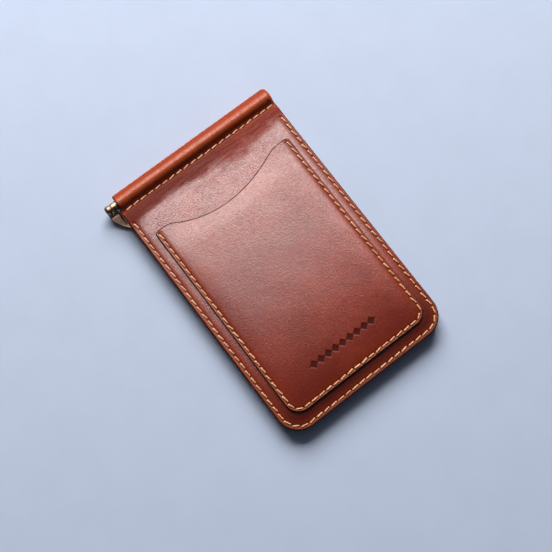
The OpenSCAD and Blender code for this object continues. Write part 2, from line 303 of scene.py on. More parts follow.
def lip_bulge(distance, inset, active):
    """The low bulge that a seam raises between itself and the cut edge."""
    return 0.07 * MM * np.exp(-(((distance - 0.48 * inset) / (0.36 * inset)) ** 2)) * active


# ---- sheets of leather ----

# Where a fine mesh's rings lie inside its outline, close together over the rolled edge
EDGE_OFFSETS = np.r_[0.03, 0.09, 0.18, 0.3, 0.44, 0.62, 0.84, 1.06, 1.28, 1.5, 1.72, 1.95, 2.2, 2.5,
                     2.9] * MM


def triangulate(outline, points):
    """Triangles over a closed outline and points inside it, as (vertices, triangles)."""
    count = len(outline)
    coords = [Vector(p) for p in np.vstack([outline, points])]
    edges = [(i, (i + 1) % count) for i in range(count)]
    found = delaunay_2d_cdt(coords, edges, [], 1, 1e-9)
    return np.array([(v.x, v.y) for v in found[0]]), np.array([tuple(f) for f in found[2]])


def fill_points(outline, spacing, margin, extra=None, fine_spacing=0.42 * MM):
    """A staggered grid of points inside an outline, finer where extra says so."""
    low, high = outline.min(0), outline.max(0)
    found = []
    for size, fine in ((spacing, False), (fine_spacing, True)):
        if fine and extra is None:
            break
        xs, ys = np.arange(low[0], high[0], size), np.arange(low[1], high[1], size * 0.87)
        x, y = np.meshgrid(xs, ys)
        x = x + (np.arange(len(ys)) % 2)[:, None] * size / 2
        x, y = x.ravel(), y.ravel()
        wanted = np.ones(len(x), bool) if extra is None else extra(x, y) == fine
        x, y = x[wanted], y[wanted]
        keep = inside(x, y, outline)
        x, y = x[keep], y[keep]
        keep = distance_to_polyline(x, y, outline) > margin
        found.append(np.c_[x[keep], y[keep]])
    return np.vstack(found)


def edge_rings(outline, offsets):
    """Rings of points that follow the outline at each offset inwards."""
    normal = inward(outline)
    rings = []
    for d in offsets:
        ring = outline + normal * d
        keep = inside(ring[:, 0], ring[:, 1], outline)
        keep &= distance_to_polyline(ring[:, 0], ring[:, 1], outline) > d - 0.02 * MM
        rings.append(ring[keep])
    return np.vstack(rings)


def sheet(outline, shown_height, hidden_height, up, extra=None, open_near=None, fine_spacing=0.42 * MM):
    """A closed sheet of leather. The shown side has the fine mesh; up says whether it faces +Z.

    The heights are functions of x, y and the distance to the outline. extra says where the shown
    side needs the fine spacing. The outline's side at open_near isn't cut, because the piece goes on.
    """
    rings = edge_rings(outline, EDGE_OFFSETS)
    grid = fill_points(outline, 1.15 * MM, EDGE_OFFSETS[-1] + 0.35 * MM, extra, fine_spacing)
    shown, shown_faces = triangulate(outline, np.vstack([rings, grid]))
    coarse = np.vstack([edge_rings(outline, [0.12 * MM]), fill_points(outline, 5 * MM, 3 * MM)])
    hidden, hidden_faces = triangulate(outline, coarse)

    def rim(x, y):
        if open_near is None:
            return distance_to_polyline(x, y, outline)
        cut = outline[np.abs(outline[:, 1] - open_near) > 1e-7]
        cut = np.vstack([[LEFT, open_near], cut, [RIGHT, open_near]])
        return distance_to_polyline(x, y, cut, closed=False)

    shown_rim, hidden_rim = rim(*shown.T), rim(*hidden.T)
    shown_z, pits, pulled = shown_height(shown[:, 0], shown[:, 1], shown_rim)
    hidden_z = hidden_height(hidden[:, 0], hidden[:, 1], hidden_rim)

    walls, wall_bulge = 4, 0.05 * MM
    count = len(outline)
    normal = inward(outline)
    if open_near is not None:
        normal = normal * (np.abs(outline[:, 1] - open_near) > 1e-7)[:, None]
    wall_points = []
    for t in np.arange(1, walls) / walls:
        z = shown_z[:count] * (1 - t) + hidden_z[:count] * t
        flat = outline + normal * wall_bulge * (1 - math.sin(math.pi * t))
        wall_points.append(np.c_[flat, z])
    verts = np.vstack([np.c_[shown, shown_z], *wall_points, np.c_[hidden, hidden_z]])
    first_wall, first_hidden = len(shown), len(shown) + count * (walls - 1)

    faces = [tuple(f) for f in shown_faces]
    grain_count = len(faces)
    starts = [0, *(first_wall + k * count for k in range(walls - 1)), first_hidden]
    columns = [start + np.arange(count) for start in starts]
    for a, b in zip(columns, columns[1:]):
        faces += [tuple(q) for q in np.c_[a, b, np.roll(b, -1), np.roll(a, -1)]]
    edge_count = len(faces) - grain_count
    faces += [tuple(f[::-1] + first_hidden) for f in hidden_faces]
    if not up:
        faces = [f[::-1] for f in faces]

    values = np.zeros((len(verts), 2))
    values[:len(shown)] = np.c_[pits, pulled]
    rims = np.zeros(len(verts))
    rims[:len(shown)] = shown_rim
    rims[first_hidden:] = hidden_rim
    kinds = [0] * grain_count + [1] * edge_count + [2] * (len(faces) - grain_count - edge_count)
    return verts, faces, kinds, rims, values


def flat_height(z):
    return lambda x, y, rim: np.full(len(x), z)


def new_object(name, data):
    made = bpy.data.objects.new(name, data)
    bpy.context.scene.collection.objects.link(made)
    return made


def smooth(mesh, sharp):
    """Smooth shading, apart from edges sharper than so many degrees."""
    mesh.polygons.foreach_set("use_smooth", np.ones(len(mesh.polygons), bool))
    mesh.update()
    mesh.set_sharp_from_angle(angle=math.radians(sharp))


def tube_faces(first, rings, sides):
    """The faces of a tube with closed ends, whose rings of points begin at first."""
    faces, last = [], first + (rings - 1) * sides
    for ring in range(first, last, sides):
        for k in range(sides):
            k2 = (k + 1) % sides
            faces.append((ring + k, ring + k2, ring + sides + k2, ring + sides + k))
    return [*faces, tuple(range(first, first + sides))[::-1], tuple(range(last, last + sides))]


def build(name, parts, materials, sharp=40, lip_end=1.3, lip_share=0.32):
    """One mesh object from several (verts, faces, kinds, rim distance, (pit, seam)) parts.

    A kind is a face's place in materials: grain, cut edge or flesh side. The lip is the stripe
    between a seam and its cut edge, as far as lip_end in mm, painted paler by lip_share as a highlight on
    its bulge, less near the right side.
    """
    verts, faces, kinds, rims, marks, offset = [], [], [], [], [], 0
    for v, f, k, r, p in parts:
        verts.append(v)
        faces += [tuple(int(i) + offset for i in face) for face in f]
        kinds += list(k)
        rims.append(r)
        marks.append(p)
        offset += len(v)
    mesh = bpy.data.meshes.new(name)
    at = np.vstack(verts)
    mesh.from_pydata(at.tolist(), [], faces)
    for material in materials:
        mesh.materials.append(material)
    mesh.polygons.foreach_set("material_index", np.array(kinds, np.int32))
    marks, rims = np.vstack(marks), np.concatenate(rims) / MM
    # Painted highlight on the lip's bulge, weaker near the right side
    lip = smoothstep(rims, 0.2, 0.4) * (1 - smoothstep(rims, lip_end - 0.25, lip_end))
    lip *= smoothstep(marks[:, 1], 0.3, 0.6)
    right_side_lip_dimming = smoothstep(at[:, 0], RIGHT - 14 * MM, RIGHT - 8 * MM)
    right_side_lip_dimming *= smoothstep(at[:, 1], FAR + 4 * MM, FAR + 12 * MM)
    lip *= lip_share * (1 - 0.7 * right_side_lip_dimming)
    for label, data in (("rim", rims), ("pit", marks[:, 0]), ("seam", marks[:, 1]), ("lip", lip)):
        attribute = mesh.attributes.new(label, "FLOAT", "POINT")
        attribute.data.foreach_set("value", data.astype(np.float32))
    smooth(mesh, sharp)
    return new_object(name, mesh)


def place(piece, body, node):
    """Rides a piece on its body and hides the node that it stands for."""
    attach(piece, body)
    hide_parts(node)


# ---- materials ----

class Shader:
    """A material's node tree with short helpers. A value is a number, a tuple or a node's output."""

    def __init__(self, name):
        self.material = bpy.data.materials.new(name)
        self.material.use_nodes = True
        self.tree = self.material.node_tree
        self.bsdf = self.tree.nodes["Principled BSDF"]
        self.coords = self.node("ShaderNodeTexCoord").outputs["Object"]

    def feed(self, socket, value):
        if isinstance(value, bpy.types.NodeSocket):
            self.tree.links.new(value, socket)
        else:
            socket.default_value = value

    def node(self, kind, inputs=None, **settings):
        made = self.tree.nodes.new(kind)
        for key, value in settings.items():
            setattr(made, key, value)
        for key, value in (inputs or {}).items():
            self.feed(made.inputs[key], value)
        return made

    def noise(self, scale, detail=3.0, rough=0.5, stretch=None, distortion=0.0):
        made = self.node("ShaderNodeTexNoise", {"Scale": scale, "Detail": detail, "Roughness": rough,
                                                "Distortion": distortion})
        source = self.coords
        if stretch is not None:
            source = self.node("ShaderNodeMapping", {"Scale": stretch, "Vector": source}).outputs[0]
        self.feed(made.inputs["Vector"], source)
        return made.outputs["Fac"]

    def cells(self, scale):
        inputs = {"Scale": scale, "Vector": self.coords}
        return self.node("ShaderNodeTexVoronoi", inputs, feature="DISTANCE_TO_EDGE").outputs["Distance"]

    def position(self, axis):
        return self.node("ShaderNodeSeparateXYZ", {"Vector": self.coords}).outputs[axis]

    def attribute(self, name):
        return self.node("ShaderNodeAttribute", attribute_name=name).outputs["Fac"]

    def remap(self, value, low, high, to_low=0.0, to_high=1.0):
        inputs = {"Value": value, "From Min": low, "From Max": high, "To Min": to_low, "To Max": to_high}
        return self.node("ShaderNodeMapRange", inputs, interpolation_type="SMOOTHSTEP").outputs["Result"]

    def math(self, operation, a, b):
        return self.node("ShaderNodeMath", {0: a, 1: b}, operation=operation).outputs["Value"]

    def times(self, a, b):
        return self.math("MULTIPLY", a, b)

    def across(self, value, start, end, to_start=0.0, to_end=1.0):
        """A soft step of a row's y between two distances from the spine, in millimetres."""
        return self.remap(value, from_spine(start * MM), from_spine(end * MM), to_start, to_end)

    def mix(self, share, a, b):
        made = self.node("ShaderNodeMix", {"Factor": share}, data_type="RGBA")
        for index, value in ((6, a), (7, b)):
            self.feed(made.inputs[index], (*value, 1.0) if isinstance(value, tuple) else value)
        return made.outputs[2]

    def bump(self, height, distance, strength=1.0, below=None):
        inputs = {"Strength": strength, "Distance": distance, "Height": height}
        if below is not None:
            inputs["Normal"] = below
        return self.node("ShaderNodeBump", inputs).outputs["Normal"]

    def set(self, **values):
        for key, value in values.items():
            self.bsdf.inputs[key.replace("_", " ")].default_value = value

    def wire(self, key, value):
        self.feed(self.bsdf.inputs[key], value)


def srgb(r, g, b):
    """A colour given as 0 to 255 screen values, as linear light."""
    return tuple((c / 255 / 12.92) if c < 10.31 else ((c / 255 + 0.055) / 1.055) ** 2.4 for c in (r, g, b))


LEATHER = srgb(156, 53, 28)
LEATHER_DEEP = srgb(136, 42, 22)
# The dark that painted shade mixes in, at the far end and over the flexed band beside the spine
LEATHER_PAINTED_SHADE = srgb(74, 13, 6)
LEATHER_PULL = srgb(145, 57, 21)
# Painted light along the top of the sleeve round the barrel
TUBE_PAINTED_LIGHT = srgb(204, 86, 32)
# Painted highlight on the lip between a seam and its cut edge
LIP_HIGHLIGHT = srgb(186, 104, 72)
PIT = srgb(66, 20, 12)
BURNISH = srgb(92, 36, 24)
BURNISH_DARK = srgb(52, 18, 12)


def grain_leather(name, base, deep, rim_colour, far_shade_share, dark_rim=(0.1, 0.42), spine=None, scoop_y=None):
    """Waxed leather: clouded dye, fine grain, stitch pits painted dark as shade, and a darker cut edge.

    far_shade_share says how much painted shade darkens the far end. A pocket's edge is fully dark only in
    the scoop that begins at scoop_y. spine adds the looks of the strip round the barrel.
    """
    s = Shader(name)
    cloud = s.remap(s.noise(38, 3, 0.5), 0.3, 0.7)
    colour = s.mix(cloud, deep, base)
    mottle = s.remap(s.noise(190, 4, 0.6, distortion=0.5), 0.38, 0.66)
    colour = s.mix(s.times(mottle, 0.3), colour, tuple(c * 0.62 for c in deep))
    fleck = s.remap(s.noise(1500, 4, 0.7), 0.4, 0.66)
    colour = s.mix(s.times(fleck, 0.3), colour, tuple(c * 0.5 for c in deep))
    y = s.position("Y")
    # Painted shade: the leather darkens towards the far end, by the far share
    colour = s.mix(s.remap(y, FAR, FAR + 34 * MM, far_shade_share, 0.0), colour, LEATHER_PAINTED_SHADE)
    polish = s.remap(y, FAR + 2 * MM, FAR + 54 * MM, 0.04, 1.0)
    polish = s.times(polish, s.remap(s.position("X"), 4 * MM, 26 * MM, 1.0, 0.84))
    seam = s.attribute("seam")
    # Beside a seam the colour goes darker and more orange: partly the pulled leather's own tone, partly
    # painted shade of the dent that the seam pulls in
    colour = s.mix(s.remap(seam, 0.1, 0.9, 0.0, 0.5), colour, tuple(c * 0.8 for c in LEATHER_PULL))
    # Painted highlight on the lip between a seam and its cut edge
    colour = s.mix(s.attribute("lip"), colour, LIP_HIGHLIGHT)
    polish = s.times(polish, s.remap(seam, 0.1, 0.8, 1.0, 0.25))
    if spine is not None:
        colour, polish = spine(s, colour, polish)
    rim = s.attribute("rim")
    rim_share = s.remap(rim, *dark_rim, 0.97, 0.0)
    # Along a pocket's scoop the rim is fully dark: its burnished edge, darkened further as painted shadow of
    # the gap beside it
    if scoop_y is not None:
        rim_share = s.times(rim_share, s.remap(y, scoop_y - 12 * MM, scoop_y - 9 * MM, 0.55, 1.0))
    colour = s.mix(rim_share, colour, rim_colour)
    # Painted shade: stitch holes and the puckers between stitches are darkened; the stamped lozenges take
    # the same dark as their pressed tone
    pit = s.attribute("pit")
    colour = s.mix(s.remap(pit, 0.25, 0.8, 0.0, 0.62), colour, PIT)
    colour = s.mix(s.remap(pit, 1.0, 1.4, 0.0, 0.85), colour, PIT)
    s.wire("Base Color", colour)
    rough = s.remap(s.noise(150, 4, 0.6), 0.3, 0.7, 0.4, 0.52)
    s.wire("Roughness", s.math("ADD", rough, s.remap(rim, 0.1, 0.5, 0.35, 0.0)))
    polish = s.times(polish, s.remap(s.noise(900, 4, 0.7), 0.3, 0.62, 0.72, 1.08))
    polish = s.times(polish, s.remap(pit, 0.1, 0.6, 1.0, 0.1))
    s.wire("Coat Weight", s.times(polish, s.remap(rim, 0.2, 0.6, 0.0, 1.0)))
    pores = s.bump(s.noise(2300, 3, 0.6), 0.06 * MM, 0.9)
    grain = s.bump(s.cells(1150), 0.06 * MM, 0.7, pores)
    swell = s.bump(s.noise(420, 4, 0.6), 0.05 * MM, 0.8, grain)
    s.wire("Normal", swell)
    s.wire("Coat Normal", swell)
    s.set(Specular_IOR_Level=0.05, Coat_Roughness=0.27, Coat_IOR=1.66)
    return s.material


def spine_looks(s, colour, polish):
    """The strip round the barrel is stretched and paler, with painted light along the sleeve's top, and the
    flexed band beside it is dull and painted darker as shade.
    """
    y = s.position("Y")
    stretched = s.across(y, 7.4, 6.0, 0.0, 0.92)
    colour = s.mix(stretched, colour, LEATHER_PULL)
    # Painted light: the sleeve's top, from about 1.4 to 6.7 mm from the spine, is made paler and more orange
    tube_lit_top = s.times(s.across(y, 6.7, 5.0), s.across(y, 2.8, 1.4, 1.0, 0.0))
    colour = s.mix(s.times(tube_lit_top, 0.8), colour, TUBE_PAINTED_LIGHT)
    stretch_lines = s.remap(s.noise(1700, 3, 0.6, stretch=(1.0, 0.12, 0.12)), 0.36, 0.68)
    lines_here = s.times(stretched, stretch_lines)
    colour = s.mix(s.times(lines_here, 0.34), colour, LEATHER_DEEP)
    streak = s.remap(s.noise(260, 4, 0.6, stretch=(0.3, 1.0, 1.0)), 0.36, 0.7)
    colour = s.mix(s.times(s.times(stretched, streak), 0.4), colour, LEATHER)
    shift = s.remap(s.noise(130, 3, 0.5, stretch=(0.4, 1.0, 1.0)), 0.3, 0.7, -1.5 * MM, 1.5 * MM)
    moved = s.math("ADD", y, shift)
    moved = s.math("ADD", moved, s.remap(s.position("X"), -24 * MM, 8 * MM, 0.0, 1.2 * MM))
    ragged = s.noise(520, 4, 0.65, stretch=(0.35, 1.0, 1.0))
    moved = s.math("ADD", moved, s.remap(ragged, 0.3, 0.7, -1.0 * MM, 1.0 * MM))
    flexed = s.across(moved, 17.6, 10.8, 0.0, 1.04)
    on_tube = s.across(y, 6.6, 5.4, 0.0, 1.0)
    # Painted shade: the flexed band beside the spine is darkened, less towards the right and not on the
    # sleeve
    band_painted_shade = s.times(flexed, s.math("SUBTRACT", 0.42, on_tube))
    band_painted_shade = s.times(band_painted_shade, s.remap(s.position("X"), 0, 24 * MM, 1.0, 0.1))
    colour = s.mix(band_painted_shade, colour, LEATHER_PAINTED_SHADE)
    flexed = s.times(flexed, s.remap(on_tube, 0.0, 1.0, 1.0, 0.55))
    polish = s.times(polish, s.math("SUBTRACT", 1.12, flexed))
    polish = s.times(polish, s.math("SUBTRACT", 1.0, s.times(lines_here, 0.35)))
    return colour, s.times(polish, s.across(y, 3.3, 1.8, 1.0, 0.04))


def cut_edge():
    """A burnished cut edge: dark, waxed fibres in fine layers."""
    s = Shader("burnished_edge")
    layers = s.remap(s.noise(900, 4, 0.6, stretch=(0.25, 0.25, 3.0)), 0.35, 0.7)
    s.wire("Base Color", s.mix(layers, BURNISH_DARK, BURNISH))
    s.wire("Roughness", s.remap(s.noise(1200, 3), 0.3, 0.7, 0.5, 0.7))
    s.set(Specular_IOR_Level=0.15)
    s.wire("Normal", s.bump(s.noise(1800, 4, 0.6, stretch=(0.3, 0.3, 2.0)), 0.03 * MM, 0.7))
    return s.material


def flesh_side():
    """The leather's matt, fibrous inside."""
    s = Shader("flesh_side")
    s.wire("Base Color", s.mix(s.remap(s.noise(800, 6, 0.7), 0.3, 0.7), srgb(96, 50, 32), srgb(132, 78, 52)))
    s.wire("Roughness", s.remap(s.noise(600, 3), 0.3, 0.7, 0.8, 0.95))
    s.wire("Normal", s.bump(s.noise(2200, 5, 0.7), 0.06 * MM, 0.8))
    return s.material


def thread_material():
    """Waxed tan thread: fine fibres, with painted shade where it dives into its holes."""
    s = Shader("waxed_thread")
    tint = s.remap(s.noise(420, 3, 0.6), 0.3, 0.72)
    colour = s.mix(tint, srgb(208, 140, 98), srgb(238, 184, 140))
    fibre = s.remap(s.noise(5200, 3, 0.6), 0.35, 0.7)
    colour = s.mix(s.times(fibre, 0.35), colour, srgb(168, 106, 70))
    # Painted shade where the thread dives into its holes
    colour = s.mix(s.remap(s.attribute("pit"), 0.6, 1.0, 0.0, 0.8), colour, srgb(140, 72, 44))
    s.wire("Base Color", colour)
    s.wire("Roughness", s.remap(s.noise(900, 2), 0.3, 0.7, 0.42, 0.6))
    s.wire("Normal", s.bump(s.noise(6000, 3, 0.6), 0.02 * MM, 0.5))
    s.set(Sheen_Weight=0.15, Sheen_Roughness=0.5)
    return s.material


# How the brush lines of the sprung arm and of the round parts are drawn out
BRUSHED, TURNED = (1.0, 0.08, 1.0), (1.0, 0.3, 0.3)


def plated_metal(name, light, dark, rough_low, rough_high, stretch=TURNED):
    """Plated or turned metal: fine brush lines, cloudy tarnish and small handling marks."""
    s = Shader(name)
    brushed = s.noise(4200, 3, 0.6, stretch=stretch)
    tarnish = s.remap(s.noise(260, 5, 0.65, distortion=0.6), 0.35, 0.72)
    s.wire("Base Color", s.mix(tarnish, light, dark))
    rough = s.remap(brushed, 0.3, 0.7, rough_low, rough_high)
    s.wire("Roughness", s.math("ADD", rough, s.times(tarnish, 0.1)))
    marks = s.bump(s.noise(700, 4, 0.6), 0.01 * MM, 0.3)
    s.wire("Normal", s.bump(brushed, 0.006 * MM, 0.5, marks))
    s.set(Metallic=1.0)
    return s.material


# ---- leather pieces ----

def leaf_ground(x, y, rim):
    """The leaf's face before its seams: crowned, with a rise and creases beside the spine."""
    v = SPINE - y
    crown = 0.28 * MM * (1 - np.exp(-rim / (3.2 * MM))) * smoothstep(v, 9 * MM, 16 * MM)
    flat_under_pocket = smoothstep(distance_outside_pocket(x, y), -3 * MM, -1 * MM)
    strength = smoothstep(x, LEFT + 18 * MM, RIGHT - 8 * MM) * (1 - smoothstep(x, RIGHT - 3.5 * MM, RIGHT))
    band = smoothstep(v, 8.2 * MM, 9.4 * MM) * (1 - smoothstep(v, 12.5 * MM, 15 * MM))
    crease = 0.035 * MM * band * (0.3 + 0.7 * strength) * waves(x / 5, y, 1.5 * MM, 5)
    drift = 0.3 * MM * waves(x, y * 0, 18 * MM, 3)
    rise = smoothstep(v, SPINE_SEAM, SPINE_SEAM + 1.1 * MM)
    swell = 0.3 * MM * rise * (1 - smoothstep(v - drift, 8.8 * MM, 13.6 * MM))
    undulation = 0.025 * MM * waves(x, y, 14 * MM, 11)
    undulation *= smoothstep(rim, 1 * MM, 4 * MM) * smoothstep(v, 9 * MM, 12 * MM)
    return FRONT_Z + (crown + undulation) * flat_under_pocket + swell + crease


def shell_height(x, y, rim):
    """The leaf's face, rolled down at its cut edges and pulled in by its seams."""
    v = SPINE - y
    edge_active = smoothstep(v, EDGE_SEAM_TOP - 0.8 * MM, EDGE_SEAM_TOP)
    edge_groove, edge_pits, edge_pull = seam_dent(x, y, rim, EDGE_INSET, edge_active, EDGE)
    spine_groove, spine_pits, spine_pull = seam_dent(x, y, v, SPINE_SEAM, np.ones(len(x)), SPINE_ROW)
    z = leaf_ground(x, y, rim) - round_edge(rim, 0.5 * MM) - edge_groove - spine_groove
    z += lip_bulge(rim, EDGE_INSET, edge_active)
    return z, np.maximum(edge_pits, spine_pits), np.maximum(edge_pull, spine_pull)


def distance_outside_pocket(x, y):
    """Distance outside the front pocket's box, negative inside it."""
    dx = np.maximum(POCKET_LOW.x - x, x - POCKET_HIGH.x)
    dy = np.maximum(POCKET_LOW.y - y, y - POCKET_HIGH.y + 8 * MM)
    return np.maximum(dx, dy)


def outer_shell(materials):
    """The shell: the front leaf, and the strip round the barrel to the stitched back flap."""
    near = from_spine(SPINE_SEAM)
    outline = leaf_outline(near, FINE_STEP)
    near_x = np.sort(outline[np.abs(outline[:, 1] - near) < 1e-7][:, 0])

    def fine(x, y):
        return y > from_spine(16 * MM)

    leaf = sheet(outline, shell_height, flat_height(AXIS_Z + SKIN_GAP), True, fine, open_near=near)
    strip = spine_strip(near_x)
    return build("shell_leather", [leaf, strip, sleeve_plug()], materials)


def strip_profile():
    """The strip from the leaf's side of the seam, round the barrel, to the flap's end.

    Returns points (v, z) of its outer and inner face, and how much of each is sleeve.
    """
    turns, flap_steps = 64, 16
    out = math.sqrt((SLEEVE_R + TROUGH_R) ** 2 - (SHELL_T + TROUGH_R) ** 2)
    centre_v, centre_z = SLEEVE_R + out, AXIS_Z + SHELL_T + TROUGH_R
    tangent = math.atan2(centre_z - AXIS_Z, centre_v - SLEEVE_R)
    rows = []
    for side in (1, -1):
        part = []
        gap = SKIN_GAP * side
        for t in np.linspace(0, 1, 3, endpoint=False):
            v = SPINE_SEAM + (centre_v - SPINE_SEAM) * t
            part.append((v, AXIS_Z + side * SHELL_T, v, AXIS_Z + gap, 0.0))
        for t in np.linspace(0, 1, 9, endpoint=False):
            a = -math.pi / 2 - (math.pi / 2 - tangent) * t
            v = centre_v + TROUGH_R * math.cos(a)
            z = TROUGH_R * math.sin(a) + SHELL_T + TROUGH_R
            inner_v = centre_v + (SLEEVE_R + BORE_R - centre_v) * t
            part.append((v, AXIS_Z + side * z, inner_v, AXIS_Z + gap, t))
        rows += part if side == 1 else part[::-1]
        for k in range(turns + 1 if side == 1 else 0):
            a = tangent + (2 * math.pi - 2 * tangent) * k / turns
            b = 2 * math.pi * k / turns
            rows.append((SLEEVE_R + SLEEVE_R * math.cos(a), AXIS_Z + SLEEVE_R * math.sin(a),
                         SLEEVE_R + BORE_R * math.cos(b), AXIS_Z + BORE_R * math.sin(b), 1.0))
    for k in range(1, flap_steps + 1):
        v = SPINE_SEAM + (FLAP_END - SPINE_SEAM) * (1 - (1 - k / flap_steps) ** 1.6)
        drop = round_edge(np.array([FLAP_END - v]), 0.55 * MM)[0]
        rows.append((v, FLAP_Z + drop, v, AXIS_Z - SKIN_GAP, 0.0))
    rows = np.array(rows)
    return rows[:, :2], rows[:, 2:4], rows[:, 4]


def spine_strip(near_x):
    """The strip swept along the spine: rounded at both ends, dented by the spine seam."""
    outer, inner, sleeve = strip_profile()
    tangent = np.gradient(outer, axis=0)
    tangent /= np.linalg.norm(tangent, axis=1)[:, None]
    out_dir = np.c_[tangent[:, 1], -tangent[:, 0]]
    middle = (outer + inner) / 2
    flip = ((outer - middle) * out_dir).sum(1) < 0
    out_dir[flip] *= -1

    ends = np.array([0, 0.03, 0.09, 0.18, 0.3, 0.44, 0.62, 0.84, 1.1, 1.4]) * MM
    inner_x = near_x[(near_x > LEFT + 1.6 * MM) & (near_x < RIGHT - 1.6 * MM)]
    columns = np.r_[LEFT + ends, inner_x, RIGHT - ends[::-1]]
    n_rows, n_cols = len(outer), len(columns)
    inset = SLEEVE_INSET * smoothstep(sleeve, 0.15, 0.9)
    share = (columns - LEFT) / WIDTH
    x = columns + inset[:, None] * (1 - share) ** 8
    x = x + 0.25 * MM * sleeve[:, None] * smoothstep(share, 0.97, 1.0)
    from_left, from_right = columns - LEFT, RIGHT - columns
    right_radius = 0.5 * MM + 0.9 * MM * sleeve[:, None]
    fall = round_edge(from_left, 0.45 * MM) + round_edge(from_right, right_radius)
    v = outer[:, 0, None] - out_dir[:, 0, None] * fall
    z = outer[:, 1, None] - out_dir[:, 1, None] * fall
    outer_side = np.clip(1 - outer[:, 0] / SLEEVE_R, 0, 1) ** 0.8
    stand_off = (0.35 + 0.3 * share) * MM
    y = SPINE - v + outer_side[:, None] * stand_off
    flat = np.abs(outer[:, 1] - AXIS_Z) < SHELL_T * 1.02
    seam_rows = np.abs(outer[:, 0] - SPINE_SEAM) < 1.6 * MM
    marks = np.zeros((n_rows, n_cols, 2))
    for i in np.flatnonzero(flat & seam_rows):
        side = 1 if outer[i, 1] > AXIS_Z else -1
        dent, pit, pulled = seam_dent(x[i], y[i], np.full(n_cols, outer[i, 0]), SPINE_SEAM,
                                      np.ones(n_cols), SPINE_ROW, side > 0)
        z[i] -= side * dent
        marks[i] = np.c_[pit, pulled]
    inner_y, inner_z = np.repeat(SPINE - inner[:, 0], n_cols), np.repeat(inner[:, 1], n_cols)
    verts = np.r_[np.c_[x.ravel(), y.ravel(), z.ravel()], np.c_[x.ravel(), inner_y, inner_z]]
    total = n_rows * n_cols
    grid = np.arange(total).reshape(n_rows, n_cols)

    def quads(g, turn):
        a, b, c, d = g[:-1, :-1], g[:-1, 1:], g[1:, 1:], g[1:, :-1]
        order = (a, b, c, d) if turn else (d, c, b, a)
        return [tuple(q) for q in np.stack(order, -1).reshape(-1, 4)]

    faces = quads(grid, True)
    kinds = [0] * len(faces)
    faces += quads(grid + total, False)
    kinds += [2] * (len(faces) - len(kinds))
    loop = np.r_[grid[:, 0], grid[-1, 1:], grid[-2::-1, -1], grid[0, -2:0:-1]]
    following = np.roll(loop, -1)
    faces += [tuple(q) for q in np.c_[loop, following, following + total, loop + total]]
    kinds += [1] * (len(faces) - len(kinds))
    beyond_flap = outer[:, 1] > AXIS_Z - SHELL_T * 0.5
    to_flap_end = FLAP_END - outer[:, 0] + 20 * MM * beyond_flap
    rim = np.minimum(np.minimum(from_left, from_right), to_flap_end[:, None])
    rims = np.r_[rim.ravel(), np.zeros(total)]
    return verts, faces, kinds, rims, np.r_[marks.reshape(-1, 2), np.zeros((total, 2))]


def sleeve_plug():
    """The pressed leather that closes the sleeve's right end."""
    sides, rings = 48, 7
    verts = []
    for i in range(rings):
        t = i / (rings - 1)
        r = max(BORE_R * math.cos(t * math.pi / 2) ** 0.5, 0.02 * MM)
        x = RIGHT - 1.15 * MM + 0.75 * MM * math.sin(t * math.pi / 2)
        for k in range(sides):
            a = 2 * math.pi * k / sides
            verts.append((x, AXIS_Y + r * math.cos(a), AXIS_Z + r * math.sin(a)))
    faces = tube_faces(0, rings, sides)
    return np.array(verts), faces, [1] * len(faces), np.zeros(len(verts)), np.zeros((len(verts), 2))


# The front pocket's crown, and how far its skived rim lies below its plane
FRONT_CROWN, FRONT_DROP = 0.26 * MM, 0.35 * MM
# The back pocket's plane and crown, and the least height of its thread's middle
BACK_Z, BACK_CROWN, BACK_THREAD_Z = 0.24 * MM, 0.045 * MM, 0.43 * MM


def pocket_ground(x, y, low, high, crown_h, rim_drop):
    """How far a pocket's face stands out from its plane, and the distance to its sewn sides."""
    sides = np.minimum(np.minimum(x - low.x, high.x - x), y - low.y)
    sides = np.minimum(sides, corner_distance(x, y, low, high, POCKET_CORNER_R))
    crown = (crown_h + rim_drop) * (1 - np.exp(-sides / (3.4 * MM)))
    crown *= 0.4 + 0.6 * smoothstep(high.y - y, 2 * MM, 14 * MM)
    middle = (y - (low.y + high.y) / 2) / ((high.y - low.y) / 2)
    dome = crown_h * (2 * (1 - middle**2) - 1) * smoothstep(sides, 0.0, 9 * MM)
    undulation = 0.02 * MM * waves(x, y, 16 * MM, 23) * smoothstep(sides, 1.5 * MM, 5 * MM)
    return crown + dome + undulation - rim_drop, sides


def pocket_height(z, low, high, seam, crown_h, rim_drop, up):
    """A pocket's face, with a rolled edge and a seam on three sides. The front one is stamped."""
    sign = 1 if up else -1

    def height(x, y, rim):
        body, sides = pocket_ground(x, y, low, high, crown_h, rim_drop)
        active = smoothstep(high.y - y, 0.4 * MM, 1.2 * MM)
        groove, pits, pulled = seam_dent(x, y, sides, POCKET_INSET, active, seam, up)
        body += lip_bulge(sides, POCKET_INSET, active) - round_edge(rim, 0.3 * MM) - groove
        if up:
            stamped = ornament_depth(x, y)
            body -= STAMP_DEPTH * stamped
            pits = np.maximum(pits, STAMPED * stamped)
        return np.maximum(z + sign * body, 0.01 * MM), pits, pulled

    return height


def corner_distance(x, y, low, high, r):
    """Distance to the outline inside the two rounded far corners, and large elsewhere."""
    cx = np.clip(x, low.x + r, high.x - r)
    outside = np.hypot(x - cx, np.minimum(y - low.y - r, 0))
    in_corner = (cx != x) & (y < low.y + r)
    return np.where(in_corner, r - outside, 1.0)


# A stamped mark's value in the pit attribute, where a stitch pit is at most 1, and its depth
STAMPED, STAMP_DEPTH = 1.6, 0.14 * MM
# Where the stamped row lies above the pocket's far edge, and the step between its lozenges
ORNAMENT_RISE, ORNAMENT_PITCH = 11.2 * MM, 3.3 * MM


def on_ornament(x, y):
    """Places along and across the stamped row, from its middle."""
    low, high = POCKET_LOW, POCKET_HIGH
    return x - (low.x + 0.49 * (high.x - low.x)), y - (low.y + ORNAMENT_RISE)


